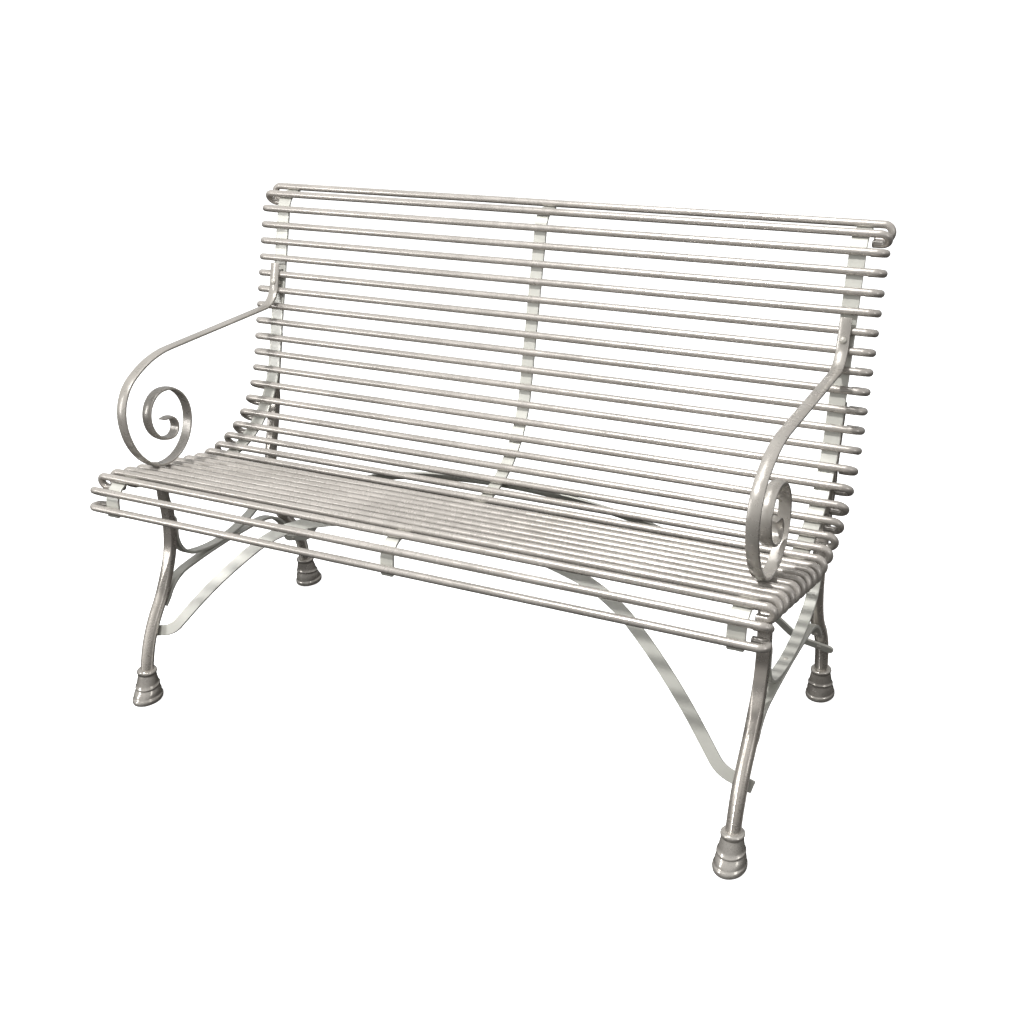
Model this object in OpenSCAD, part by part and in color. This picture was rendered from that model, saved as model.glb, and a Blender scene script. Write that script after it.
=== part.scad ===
// Iron garden bench: round slats on three bent straps, scroll arms, braced legs with hooves.
// Millimetres. +Z up, front towards -Y, width along X, origin on the floor under the middle.
// A bar's centreline is a start [y, z, heading] and a chain of steps in the YZ plane.
// A step is a straight [length, 0] or an arc [radius, turn], a left turn being positive.

/* [View] */
// Facets of a full circle in the preview
$fn = 48; // [24:8:96]

/* [Slats] */
// Overall width over the hooked slat ends
bench_width = 1240; // [1000:10:1600]
// Diameter of a slat
slat_d = 13; // [11:0.5:14]
// Distance between neighbouring slats along the profile
pitch = 31.84; // [31:0.02:32]
// Centreline radius of the hook at each slat end
hook_r = 12.5; // [11:0.5:13]
// The same on the slats of the front roll, which crowd together behind it
nose_hook_r = 11; // [9:0.5:11]
// Straight length after a hook
hook_tail = 15; // [4:1:15]

/* [Profile] */
// Y of the lowest front slat
front_y = -308.4; // [-320:0.2:-300]
// Z of the lowest front slat
front_z = 398.2; // [393:0.2:403]
// Lean of the front drop, from the horizontal
front_angle = 84; // [80:1:88]
// Radius of the front roll
nose_r = 40; // [38:1:42]
// Fall of the seat towards the back
seat_angle = 13; // [12:0.5:14]
// Straight length of the seat
seat_run = 222.4; // [220:0.2:225]
// Radius between seat and back
lap_r = 193; // [190:1:196]
// Lean of the back, from the horizontal
back_angle = 73.8; // [73:0.1:75]
// Straight length of the back
back_run = 300; // [298:1:302]
// Radius of the roll on top
crest_r = 45; // [43:1:48]

/* [Straps] */
// Distance of the side straps and arms from the middle
side_x = 569; // [450:1:569]
// Thickness of the straps
strap_t = 5; // [4:0.5:5]
// Width of the side straps
side_strap_w = 28; // [22:1:28]
// Width of the middle strap
mid_strap_w = 24; // [16:1:30]
// Strap length past the lowest front slat
strap_tail = 14; // [10:1:20]
// Strap length past the top slat
strap_top = 9; // [7:1:12]

/* [Legs] */
// Distance of the legs and their braces from the middle
leg_x = 573; // [456:1:575]
// Diameter of the round part of a leg
leg_d = 24; // [21:0.5:25]
// Width of the flat leg tops
tab_w = 20; // [18:1:22]
// Thickness of the flat leg tops
tab_t = 12; // [10:1:13]

/* [Hooves] */
// Height of a hoof
hoof_h = 61; // [56:1:66]
// Radius of its sole at the heel and at the toe
hoof_r = 26; // [24:1:28]
// Distance from the heel's centre to the toe's
hoof_toe = 14; // [10:1:20]
// Radius of the collar round the leg
collar_r = 17.5; // [16:0.5:19]

/* [Arms] */
// Width of the arm bar
arm_w = 20; // [16:1:24]
// Thickness of the arm bar
arm_t = 6; // [5:0.5:7]
// Length of the tongue in front of the back slats
tongue = 46.7; // [44:0.1:49]
// Straight length of the arm
arm_run = 279.8; // [277:0.1:282]

/* [Side braces] */
// Width of the bars between a front and a rear leg
brace_w = 20; // [16:1:22]
// Thickness of those bars
brace_t = 6; // [5:0.5:7]
// Y where the sagging bar rests on the arched one
touch_y = -36; // [-50:1:-20]
// Z where they touch
touch_z = 218; // [210:1:225]

/* [Cross braces] */
// Height of the flat bar that arches from side to side in front
front_cross_w = 20; // [14:1:22]
// Height of the one at the rear
rear_cross_w = 16; // [12:1:18]
// Thickness of those bars
cross_t = 5; // [4:0.5:6]
// Diameter of the rear bar's rounded ends
cross_end_d = 18; // [16:1:24]
// Y and Z of the front arch's middle
front_cross_at = [-134.5, 396]; // [-300:1:500]
// Lean of the front arch
front_lean = 21.5; // [20:0.5:23]
// Y and Z of the rear arch's middle
rear_cross_at = [88, 386.5]; // [-300:1:500]
// Lean of the rear arch
rear_lean = 22; // [20:0.5:23]

/* [Fasteners] */
// Shank diameter of the rivets
rivet_d = 4; // [3:0.5:5]
// Depth of a rivet's hole in a slat
rivet_depth = 4; // [3:0.5:5]
// Diameter of the bolts that hold the arms to the back
bolt_d = 6; // [5:0.5:7]

/* [Hidden] */
SLATS = 31;
SLAT_NAMES = [for (k = [1:SLATS]) str("slat_", k < 10 ? "0" : "", k)];
SIDES = ["left", "right"];
PAIRS = ["strap", "front_leg", "rear_leg", "front_hoof", "rear_hoof", "arm", "sag_brace",
         "arch_brace"];
PAIR_NAMES = [for (p = PAIRS, s = SIDES) str(p, "_", s)];

iron = [0.74, 0.72, 0.68];
dark_iron = [0.52, 0.5, 0.46];
slat_r = slat_d / 2;
leg_r = leg_d / 2;
strap_o = slat_r + strap_t / 2;
tab_o = slat_r + strap_t + tab_t / 2;
grip = leg_r + brace_t / 2;
head_d = 2 * rivet_d;
head_h = 0.55 * rivet_d;
// How far a step laps into its neighbours, and how much thinner it is.
splice = 0.3;
thinner = 0.004;
// The same for a leg's taper.
lap = 1;
skin = 0.1;

// Walking along a chain.
function degrees_of(arc, r) = arc / r * 180 / PI;
function run(p) = p[1] == 0 ? p[0] : p[0] * abs(p[1]) * PI / 180;
function total(c) = len(c) == 0 ? 0 : run(c[0]) + total([for (k = [1:1:len(c) - 1]) c[k]]);
function step(s, p) = p[1] == 0
    ? [s[0] + p[0] * cos(s[2]), s[1] + p[0] * sin(s[2]), s[2]]
    : let (r = sign(p[1]) * p[0], a = s[2] + p[1])
      [s[0] + r * (sin(a) - sin(s[2])), s[1] - r * (cos(a) - cos(s[2])), a];
function after(c, s, count, k = 0) = k == count ? s : after(c, step(s, c[k]), count, k + 1);
function end(c, s) = after(c, s, len(c));
function part(p, d) = p[1] == 0 ? [d, 0] : [p[0], sign(p[1]) * degrees_of(d, p[0])];
function at(c, s, d, k = 0) = d <= run(c[k]) || k == len(c) - 1
    ? step(s, part(c[k], d))
    : at(c, step(s, c[k]), d - run(c[k]), k + 1);
function off(s, o) = [s[0] + o * sin(s[2]), s[1] - o * cos(s[2]), s[2]];
function beside(c, o) = [for (p = c) p[1] == 0 ? p : [p[0] + sign(p[1]) * o, p[1]]];
// Where a chain starts, if its first count steps end at s.
function before(s, p) = step(s + [0, 0, 180], [p[0], -p[1]]) - [0, 0, 180];
function start_of(c, s, count) =
    count == 0 ? s : start_of(c, before(s, c[count - 1]), count - 1);
function reversed(c) = [for (k = [len(c) - 1:-1:0]) c[k]];
// Two arcs' radii: they turn to a, then on to b, and end u along and v across.
function radii(u, v, a, b) =
    let (m = sin(b) - sin(a), p = 1 - cos(a), q = cos(a) - cos(b), det = sin(a) * q - m * p)
    [(u * q - m * v) / det, (sin(a) * v - p * u) / det];

// The slats' centre curve, from the lowest front slat to the top slat.
front_drop = 12;
start = [front_y, front_z, front_angle];
middle = [[nose_r, -front_angle - seat_angle], [seat_run, 0],
          [lap_r, seat_angle + back_angle], [back_run, 0]];
crest = degrees_of((SLATS - 1) * pitch - front_drop - total(middle), crest_r);
profile = concat([[front_drop, 0]], middle, [[crest_r, -crest]]);
function slat_at(k) = at(profile, start, (SLATS - k) * pitch);

// The straps run behind the slats, and a little past the first and the last.
strap_start = off(step(start, [-strap_tail, 0]), strap_o);
strap_chain = beside(concat([[front_drop + strap_tail, 0]], middle,
                            [[crest_r, -crest - degrees_of(strap_top, crest_r)]]), strap_o);

// Front leg: a tab under the seat, a bend, and an S down to the hoof.
front_start = step(off(slat_at(27), tab_o), [-22, 0]);
front_flat = [[48, 0], [26, seat_angle - 90], [24, 0]];
front_taper = 30;
front_sweep = 262;
front_round = [[front_sweep, -40], [250, 31], [18, 0]];

// Rear leg: a tab behind the back, and an S down to the hoof.
rear_start = step(off(slat_at(11), tab_o), [12, 0]) + [0, 0, 180];
rear_flat = [[104, 0]];
rear_taper = 40;
rear_sweep = 400;
rear_hook = 150;
rear_round = [[62, 0], [rear_sweep, 90 - back_angle], [rear_hook, 42], [150, -36], [56, 0]];

// Slats riveted through a leg's tab, slats left loose above a leg's bend, and the slat
// under the arm's scroll.
tab_slats = [11, 12, 27];
loose_slats = [13, 26];
scroll_slat = 26;
function in(k, list) = len(search(k, list)) > 0;
// Rivets through a tab sit where the tab and the strap overlap.
tab_rivet_x = (side_x + leg_x) / 2;
function rivet_x(k) = in(k, tab_slats) ? tab_rivet_x : side_x;
// Places between two slats: a second rivet of the front tab, and the arm's bolt.
tab_rivet = 27.5;
arm_bolt = 7.5;

front_knee = step(end(front_flat, front_start), [front_taper, 0]);
rear_knee = step(end(rear_flat, rear_start), [rear_taper, 0]);
front_foot = end(front_round, front_knee);
rear_foot = end(rear_round, rear_knee);

// Centres of the leg arcs that the side braces lie against.
front_c = [front_knee[0] - front_sweep, front_knee[1]];
rear_waist = after(rear_round, rear_knee, 2);
rear_c = [rear_waist[0] + rear_sweep, rear_waist[1]];
rear_hook_c = [rear_waist[0] + rear_hook, rear_waist[1]];

// Sagging brace: lowest where it touches, standing up against both legs.
sag_z = touch_z + brace_t / 2;
sag_front = radii(touch_y - front_c[0] - (front_sweep + grip) * cos(8),
                  front_c[1] - (front_sweep + grip) * sin(8) - sag_z, 15, 98);
sag_rear = radii(rear_c[0] - (rear_sweep + grip) * cos(5) - touch_y,
                 rear_c[1] + (rear_sweep + grip) * sin(5) - sag_z, 25, 85);
sag_chain = [[front_sweep + grip, -6], [sag_front[1], 83], [sag_front[0], 15],
             [sag_rear[0], 25], [sag_rear[1], 60], [rear_sweep + grip, -3]];
sag_start = start_of(sag_chain, [touch_y, sag_z, 0], 3);

// Arched brace: highest where it touches, lying down along both legs.
arch_z = touch_z - brace_t / 2;
arch_front = radii(touch_y - front_c[0] - (front_sweep + grip) * cos(34),
                   arch_z - front_c[1] + (front_sweep + grip) * sin(34), 5, 56);
arch_rear = radii(rear_hook_c[0] - (rear_hook + grip) * cos(36) - touch_y,
                  arch_z - rear_hook_c[1] + (rear_hook + grip) * sin(36), 4, 54);
arch_chain = [[front_sweep + grip, 4], [arch_front[1], -51], [arch_front[0], -5],
              [arch_rear[0], -4], [arch_rear[1], -50], [rear_hook + grip, 5]];
arch_start = start_of(arch_chain, [touch_y, arch_z, 0], 3);

// Arm: a tongue in front of the back slats, a straight run and a scroll that rests on a slat.
scroll_r = 75;
arm_start = off(at(profile, start, (SLATS - 8) * pitch + 53), -slat_r - arm_t / 2)
            + [0, 0, 180];
arm_chain = [[tongue, 0], [45, -back_angle], [arm_run, 0], [200, 30], [79.9, 60],
             [120, 50], [scroll_r, 130], [62, 90], [44, 90], [50, 90], [19, 90], [20, 90],
             [12, 0]];
scroll_start = after(arm_chain, arm_start, 6);
scroll_c = [scroll_start[0] - scroll_r * sin(scroll_start[2]),
            scroll_start[1] + scroll_r * cos(scroll_start[2])];

// Cross braces, from their middle to one end.
front_cross = [[940, -15.5], [290, -26.5], [1100, -10], [41, 0], [55, 38], [36, 0]];
rear_cross = [[972, -15.5], [290, -26.5], [1100, -10], [25, 0], [55, 38], [38, 0]];

// Puts a drawing of the YZ plane upright at the given x.
module upright(x) translate([x, 0, 0]) rotate([90, 0, 90]) children();

// Sweeps a drawing along a chain: its x is across the bar, its y runs along X.
// Every second step is a little thinner and laps into its neighbours, so that they fuse.
module sweep(chain, s) translate([s[0], s[1], 0]) rotate([0, 0, s[2]]) onward(chain) children();

module onward(chain, k = 0) {
    if (k < len(chain)) {
        length = chain[k][0];
        turn = chain[k][1];
        side = sign(turn) * length;
        over = k % 2 * splice;
        size = 1 - k % 2 * thinner;
        if (turn == 0) {
            translate([-over, 0, 0]) rotate([90, 0, 90])
                linear_extrude(length + 2 * over) scale(size) children();
            translate([length, 0, 0]) onward(chain, k + 1) children();
        } else translate([0, side, 0]) {
            more = degrees_of(over, length);
            rotate([0, 0, min(turn, 0) - sign(turn) * 90 - more])
                rotate_extrude(angle = abs(turn) + 2 * more)
                    translate([length, 0]) scale(size) children();
            rotate([0, 0, turn]) translate([0, -side, 0]) onward(chain, k + 1) children();
        }
    }
}

module bar(chain, s, t, w) sweep(chain, s) square([t, w], center = true);

// Puts a part at [y, z, heading] with its z towards the back of the curve.
module behind(s, x) translate([x, s[0], s[1]]) rotate([180 + s[2], 0, 0]) children();

// A rivet along z: its head starts at z = 0, its shank reaches back to -depth.
module rivet(depth, d = rivet_d) {
    translate([0, 0, -depth]) cylinder(h = depth, d = d);
    cylinder(h = head_h, d1 = 2 * d, d2 = d);
}

module hole(depth, d = rivet_d) translate([0, 0, -depth]) cylinder(h = depth + 1, d = d);

// Puts a part at [y, z] with its z along the given heading.
module facing(p, a, x) translate([x, p[0], p[1]]) rotate([a - 90, 0, 0]) children();

// Puts a part on the outer face of a brace that lies on a leg's arc, with z off the leg.
module on_front(a, x) facing(front_c + (front_sweep + leg_r + brace_t) * [cos(a), -sin(a)], -a, x)
    children();
module on_rear(a, x) facing(rear_c + (rear_sweep + leg_r + brace_t) * [-cos(a), sin(a)],
                            180 - a, x) children();
module on_hook(a, x)
    facing(rear_hook_c - (rear_hook + leg_r + brace_t) * [cos(a), sin(a)], 180 + a, x)
    children();

// Cross braces lean back going up in front, and lean forward going up at the rear.
module lean(p, a) translate([0, p[0], p[1]]) rotate([90 - a, 0, 0]) children();
// Drop of a cross brace where it passes a leg, on its last straight stretch.
function drop_at_leg(chain) =
    let (e = end(chain, [0, 0, 0])) e[1] + (leg_x - e[0]) * tan(e[2]);

module cross_brace(chain, w) {
    whole = concat(reversed(chain), chain);
    bar(whole, start_of(whole, [0, 0, 0], len(chain)), w, cross_t);
}

module slat(k) {
    s = slat_at(k);
    r = k >= SLATS - 2 ? nose_hook_r : hook_r;
    reach = bench_width / 2 - slat_r - r;
    color(iron) difference() {
        behind(s, 0) {
            rotate([0, 90, 0]) cylinder(h = 2 * reach, d = slat_d, center = true);
            for (m = [0, 1]) mirror([m, 0, 0]) {
                translate([reach, 0, r]) rotate([90, 0, 0]) rotate([0, 0, -90])
                    rotate_extrude(angle = 180) translate([r, 0]) circle(d = slat_d);
                translate([reach - hook_tail, 0, 2 * r]) rotate([0, 90, 0])
                    cylinder(h = hook_tail, d = slat_d);
            }
        }
        behind(off(s, slat_r), 0) hole(rivet_depth);
        if (!in(k, loose_slats))
            for (m = [-1, 1]) behind(off(s, slat_r), m * rivet_x(k)) hole(rivet_depth);
        if (k == scroll_slat)
            for (x = [-side_x, side_x])
                behind(off(s, -slat_r), x) mirror([0, 0, 1]) hole(rivet_depth);
    }
}

// Back face of a strap at a slat, or between two.
function strap_back(k) = off(slat_at(k), slat_r + strap_t);

module middle_strap() {
    color(iron) difference() {
        upright(0) bar(strap_chain, strap_start, strap_t, mid_strap_w);
        for (k = [1:SLATS]) behind(strap_back(k), 0) hole(strap_t + 1);
    }
}

module side_strap(side) {
    color(iron) difference() {
        upright(side * side_x) bar(strap_chain, strap_start, strap_t, side_strap_w);
        for (k = [1:SLATS])
            if (!in(k, loose_slats)) behind(strap_back(k), side * rivet_x(k)) hole(strap_t + 1);
        behind(strap_back(tab_rivet), side * tab_rivet_x) hole(strap_t + 1);
        behind(strap_back(arm_bolt), side * side_x) hole(strap_t + 1, bolt_d);
    }
}

// Back face of a leg's tab at a slat, or between two.
function tab_back(k) = off(slat_at(k), tab_o + tab_t / 2);

// A leg: a flat top, a taper from flat to round, and a round lower part.
module leg(flat, start_at, taper, round, x) {
    tab_end = end(flat, start_at);
    upright(x) {
        bar(flat, start_at, tab_t, tab_w);
        translate([tab_end[0], tab_end[1], 0]) rotate([0, 0, tab_end[2]]) rotate([90, 0, 90])
            hull() {
                translate([0, 0, -lap])
                    linear_extrude(lap) square([tab_t - skin, tab_w - skin], center = true);
                translate([0, 0, taper])
                    linear_extrude(lap) circle(d = leg_d - skin, $fn = 32);
            }
        sweep(round, step(tab_end, [taper, 0])) circle(d = leg_d);
    }
}

module front_leg(side) {
    x = side * leg_x;
    color(dark_iron) difference() {
        leg(front_flat, front_start, front_taper, front_round, x);
        for (k = [27, tab_rivet]) behind(tab_back(k), side * tab_rivet_x) hole(tab_t + 1);
        on_front(5, x) hole(brace_t + rivet_depth);
        on_front(36, x) hole(brace_t + rivet_depth);
        front_cross_place(x) hole(cross_t + 2 * rivet_depth);
    }
}

module rear_leg(side) {
    x = side * leg_x;
    color(dark_iron) difference() {
        leg(rear_flat, rear_start, rear_taper, rear_round, x);
        for (k = [11, 12]) behind(tab_back(k), side * tab_rivet_x) hole(tab_t + 1);
        on_rear(3.5, x) hole(brace_t + rivet_depth);
        on_hook(38, x) hole(brace_t + rivet_depth);
        rear_cross_place(x) hole(cross_t + 2 * rivet_depth);
    }
}

module front_cross_place(x) lean(front_cross_at, front_lean)
    translate([x, drop_at_leg(front_cross), -cross_t / 2]) mirror([0, 0, 1]) children();
module rear_cross_place(x) lean(rear_cross_at, -rear_lean)
    translate([x, drop_at_leg(rear_cross), cross_t / 2]) children();

// A hoof: a collar round the leg's end above a split sole that points to the toe.
module hoof(foot, toe, x) {
    up = foot[2] + 180;
    sole = foot[0] - foot[1] * cos(foot[2]) / sin(foot[2]);
    color(dark_iron) difference() {
        union() {
            facing([sole, 0] + 12 * [cos(up), sin(up)], up, x)
                cylinder(h = hoof_h - 12, r = collar_r);
            translate([x, sole - toe * hoof_toe / 2, 0])
                cylinder(h = 0.6 * hoof_h, r1 = hoof_r, r2 = collar_r);
            translate([x, sole + toe * hoof_toe / 2, 0])
                cylinder(h = 0.55 * hoof_h, r1 = hoof_r, r2 = 0.7 * collar_r);
        }
        facing(foot, up, x) cylinder(h = hoof_h, r = leg_r);
    }
}

module arm(x) {
    color(iron) difference() {
        upright(x) bar(arm_chain, arm_start, arm_t, arm_w);
        behind(off(slat_at(arm_bolt), -slat_r), x) hole(arm_t + 1, bolt_d);
        behind(off(slat_at(scroll_slat), -slat_r), x) hole(arm_t + 3);
    }
}

module sag_brace(x) {
    color(iron) difference() {
        upright(x) bar(sag_chain, sag_start, brace_t, brace_w);
        translate([x, touch_y, touch_z + brace_t]) hole(brace_t + 1);
        on_front(5, x) hole(brace_t + 1);
        on_rear(3.5, x) hole(brace_t + 1);
    }
}

module arch_brace(x) {
    color(iron) difference() {
        upright(x) bar(arch_chain, arch_start, brace_t, brace_w);
        translate([x, touch_y, touch_z]) hole(brace_t + 1);
        on_front(36, x) hole(brace_t + 1);
        on_hook(38, x) hole(brace_t + 1);
    }
}

module front_cross_brace() {
    color(iron) difference() {
        lean(front_cross_at, front_lean) cross_brace(front_cross, front_cross_w);
        for (x = [-leg_x, leg_x]) front_cross_place(x) hole(cross_t + 1);
    }
}

module rear_cross_brace() {
    color(iron) difference() {
        lean(rear_cross_at, -rear_lean) {
            tip = end(rear_cross, [0, 0, 0]);
            cross_brace(rear_cross, rear_cross_w);
            for (m = [0, 1]) mirror([m, 0, 0]) translate([tip[0], tip[1], 0])
                cylinder(h = cross_t - skin, d = cross_end_d, center = true);
        }
        for (x = [-leg_x, leg_x]) rear_cross_place(x) hole(cross_t + 1);
    }
}

module strap_rivets() {
    color(iron) for (k = [1:SLATS]) {
        behind(strap_back(k), 0) rivet(strap_t + rivet_depth);
        if (!in(k, concat(tab_slats, loose_slats)))
            for (x = [-side_x, side_x]) behind(strap_back(k), x) rivet(strap_t + rivet_depth);
    }
}

module leg_rivets() {
    color(dark_iron) for (x = [-tab_rivet_x, tab_rivet_x]) {
        for (k = tab_slats) behind(tab_back(k), x) rivet(tab_t + strap_t + rivet_depth);
        behind(tab_back(tab_rivet), x) {
            rivet(tab_t + strap_t);
            translate([0, 0, -tab_t - strap_t]) mirror([0, 0, 1]) rivet(1);
        }
    }
}

module brace_rivets() {
    color(iron) for (x = [-leg_x, leg_x]) {
        translate([x, touch_y, touch_z + brace_t]) rivet(2 * brace_t);
        translate([x, touch_y, touch_z - brace_t]) mirror([0, 0, 1]) rivet(brace_t);
        on_front(5, x) rivet(brace_t + rivet_depth);
        on_front(36, x) rivet(brace_t + rivet_depth);
        on_rear(3.5, x) rivet(brace_t + rivet_depth);
        on_hook(38, x) rivet(brace_t + rivet_depth);
    }
}

module cross_rivets() {
    color(iron) for (x = [-leg_x, leg_x]) {
        front_cross_place(x) rivet(cross_t + 2 * rivet_depth);
        rear_cross_place(x) rivet(cross_t + 2 * rivet_depth);
    }
}

module arm_rivets() {
    color(iron) for (x = [-side_x, side_x])
        behind(off(slat_at(scroll_slat), -slat_r - arm_t - 0.6), x) mirror([0, 0, 1])
            rivet(arm_t + 0.6 + rivet_depth);
}

module arm_bolts() {
    front = off(slat_at(arm_bolt), -slat_r - arm_t);
    color(iron) for (x = [-side_x, side_x]) behind(front, x) {
        cylinder(h = arm_t + slat_d + strap_t + bolt_d, d = bolt_d);
        mirror([0, 0, 1]) cylinder(h = 0.5 * bolt_d, d1 = 2 * bolt_d, d2 = bolt_d);
    }
}

module arm_spacers() {
    color(iron) for (x = [-side_x, side_x])
        behind(off(slat_at(arm_bolt), -slat_r), x) difference() {
            cylinder(h = slat_d, d = 2 * bolt_d);
            translate([0, 0, -1]) cylinder(h = slat_d + 2, d = bolt_d);
        }
}

module arm_nuts() {
    color(dark_iron) for (x = [-side_x, side_x])
        behind(off(slat_at(arm_bolt), slat_r + strap_t), x) difference() {
            cylinder(h = 0.8 * bolt_d, d = 2 * bolt_d, $fn = 6);
            translate([0, 0, -1]) cylinder(h = bolt_d + 2, d = bolt_d);
        }
}

for (k = [1:SLATS]) slat(k);
for (s = [0, 1]) {
    side = 2 * s - 1;
    x = side * leg_x;
    side_strap(side);
    front_leg(side);
    rear_leg(side);
    hoof(front_foot, -1, x);
    hoof(rear_foot, 1, x);
    arm(side * side_x);
    sag_brace(x);
    arch_brace(x);
}
middle_strap();  // strap_middle
front_cross_brace();
rear_cross_brace();
strap_rivets();
leg_rivets();
brace_rivets();
cross_rivets();
arm_rivets();
arm_bolts();
arm_spacers();
arm_nuts();
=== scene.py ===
"""Iron garden bench with round slats, scroll arms and hoof feet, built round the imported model."""
import math
import random

import bmesh
import bpy
from mathutils import Matrix, Vector, noise


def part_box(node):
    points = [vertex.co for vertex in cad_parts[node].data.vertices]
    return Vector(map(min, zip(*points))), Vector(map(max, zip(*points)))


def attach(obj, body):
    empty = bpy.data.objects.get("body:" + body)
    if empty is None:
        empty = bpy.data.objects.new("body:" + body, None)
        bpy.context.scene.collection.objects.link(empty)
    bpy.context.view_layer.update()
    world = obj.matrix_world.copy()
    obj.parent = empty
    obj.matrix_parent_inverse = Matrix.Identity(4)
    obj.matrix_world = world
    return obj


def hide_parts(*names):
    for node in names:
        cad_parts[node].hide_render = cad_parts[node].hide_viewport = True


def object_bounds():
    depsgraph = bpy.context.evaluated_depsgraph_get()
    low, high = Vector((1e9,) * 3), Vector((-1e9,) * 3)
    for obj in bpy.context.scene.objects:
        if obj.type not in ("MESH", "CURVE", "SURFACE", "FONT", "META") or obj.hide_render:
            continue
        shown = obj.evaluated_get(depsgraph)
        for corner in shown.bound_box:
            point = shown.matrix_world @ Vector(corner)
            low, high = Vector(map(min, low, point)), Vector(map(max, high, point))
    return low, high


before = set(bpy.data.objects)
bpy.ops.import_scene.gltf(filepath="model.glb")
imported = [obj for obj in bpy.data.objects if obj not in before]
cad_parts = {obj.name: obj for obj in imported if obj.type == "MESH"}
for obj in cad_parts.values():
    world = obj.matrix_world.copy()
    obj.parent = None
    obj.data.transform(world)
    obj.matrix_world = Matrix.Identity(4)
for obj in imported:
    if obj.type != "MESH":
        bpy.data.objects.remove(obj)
cad_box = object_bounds()

MM = 0.001
SLATS = 31
SIDES = (("left", -1), ("right", 1))


# ---- Driving sizes, in metres and degrees ----

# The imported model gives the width, and further down the places of the straps and legs.
BENCH_HALF = cad_box[1].x
SLAT_R = 6.5 * MM
PITCH = 31.84 * MM
HOOK_R = 12.5 * MM
NOSE_HOOK_R = 11 * MM
HOOK_TAIL = 15 * MM
STRAP_T = 5 * MM
SIDE_STRAP_W = 28 * MM
MIDDLE_STRAP_W = 24 * MM
STRAP_TAIL = 14 * MM
STRAP_TOP = 9 * MM
LEG_R = 12 * MM
TAB_W = 20 * MM
TAB_T = 12 * MM
# Distances from a leg's top to the end of its flat tab and of its squared stretch.
FRONT_TAB, FRONT_SQUARED = 98 * MM, 200 * MM
REAR_TAB, REAR_SQUARED = 104 * MM, 190 * MM
# A leg's blends from tab to squared and from squared to round, and its edge radii.
TAB_BLEND, ROUND_BLEND = 34 * MM, 80 * MM
SQUARED_HALF = 8 * MM
TAB_EDGE, SQUARED_EDGE = 1.3 * MM, 1.8 * MM
ARM_W = 20 * MM
ARM_T = 6 * MM
BRACE_W = 20 * MM
BRACE_T = 6 * MM
FRONT_CROSS_W = 20 * MM
REAR_CROSS_W = 16 * MM
CROSS_T = 5 * MM
CROSS_END_R = 9 * MM
CROSS_EDGE = 1.1 * MM
CROSS_TIP = 1.5 * MM
RIVET_R = 2 * MM
BOLT_R = 3 * MM
# How far the bars depart from exact ones.
BAR_UNEVEN, LEG_UNEVEN, CROSS_UNEVEN = 0.15 * MM, 0.3 * MM, 0.2 * MM
SLAT_SWAY, SLAT_THINNING = 0.25 * MM, 0.12 * MM


def middle_x(node):
    low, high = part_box(node)
    return (low.x + high.x) / 2


SIDE_X = abs(middle_x("strap_right"))
LEG_X = abs(middle_x("front_leg_right"))
TAB_RIVET_X = (SIDE_X + LEG_X) / 2


# ---- Chains: a start (y, z, heading) and steps, a straight (length, 0) or an arc (radius, turn) ----

def sin(a):
    return math.sin(math.radians(a))


def cos(a):
    return math.cos(math.radians(a))


def run(step):
    """A step's length."""
    return step[0] if step[1] == 0 else step[0] * math.radians(abs(step[1]))


def advance(s, step):
    y, z, a = s
    if step[1] == 0:
        return (y + step[0] * cos(a), z + step[0] * sin(a), a)
    r = math.copysign(step[0], step[1])
    b = a + step[1]
    return (y + r * (sin(b) - sin(a)), z - r * (cos(b) - cos(a)), b)


def part(step, d):
    """The first d of a step."""
    if step[1] == 0:
        return (d, 0)
    return (step[0], math.copysign(math.degrees(d / step[0]), step[1]))


def at(chain, s, d):
    """The state at a distance d along a chain; past its end the last step goes on."""
    for i, step in enumerate(chain):
        if d <= run(step) or i == len(chain) - 1:
            return s if d == 0 else advance(s, part(step, d))
        s = advance(s, step)
        d -= run(step)


def after(chain, s, count=None):
    """The state after a chain's first steps, or after all of them."""
    for step in chain[:count]:
        s = advance(s, step)
    return s


def off(s, o):
    """The state moved o to the right of its heading."""
    return (s[0] + o * sin(s[2]), s[1] - o * cos(s[2]), s[2])


def beside(chain, o):
    """The chain that runs o to the right of another."""
    return [p if p[1] == 0 else (p[0] + math.copysign(o, p[1]), p[1]) for p in chain]


def radii(u, v, a, b):
    """Radii of two arcs that turn to a, then on to b, and end u along and v across."""
    m, p, q = sin(b) - sin(a), 1 - cos(a), cos(a) - cos(b)
    det = sin(a) * q - m * p
    return (u * q - m * v) / det, (sin(a) * v - p * u) / det


def samples(chain, start, straight=12 * MM, turn=4):
    """Points (y, z, heading, distance) along a chain."""
    points = [start + (0.0,)]
    s, gone = start, 0.0
    for step in chain:
        cuts = max(1, math.ceil(step[0] / straight if step[1] == 0 else abs(step[1]) / turn))
        if step[1] != 0:
            cuts = max(cuts, math.ceil(run(step) / (2 * straight)))
        for i in range(1, cuts + 1):
            d = run(step) * i / cuts
            points.append(advance(s, part(step, d)) + (gone + d,))
        s = advance(s, step)
        gone += run(step)
    return points


# ---- The design's centrelines ----

FRONT_ANGLE, SEAT_ANGLE, BACK_ANGLE = 84, 13, 73.8
FRONT_DROP = 12 * MM
CREST_R = 45 * MM
START = (-308.4 * MM, 398.2 * MM, FRONT_ANGLE)
MIDDLE = [(40 * MM, -FRONT_ANGLE - SEAT_ANGLE), (222.4 * MM, 0),
          (193 * MM, SEAT_ANGLE + BACK_ANGLE), (300 * MM, 0)]
CREST = math.degrees(((SLATS - 1) * PITCH - FRONT_DROP - sum(map(run, MIDDLE))) / CREST_R)
PROFILE = [(FRONT_DROP, 0)] + MIDDLE + [(CREST_R, -CREST)]


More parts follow.
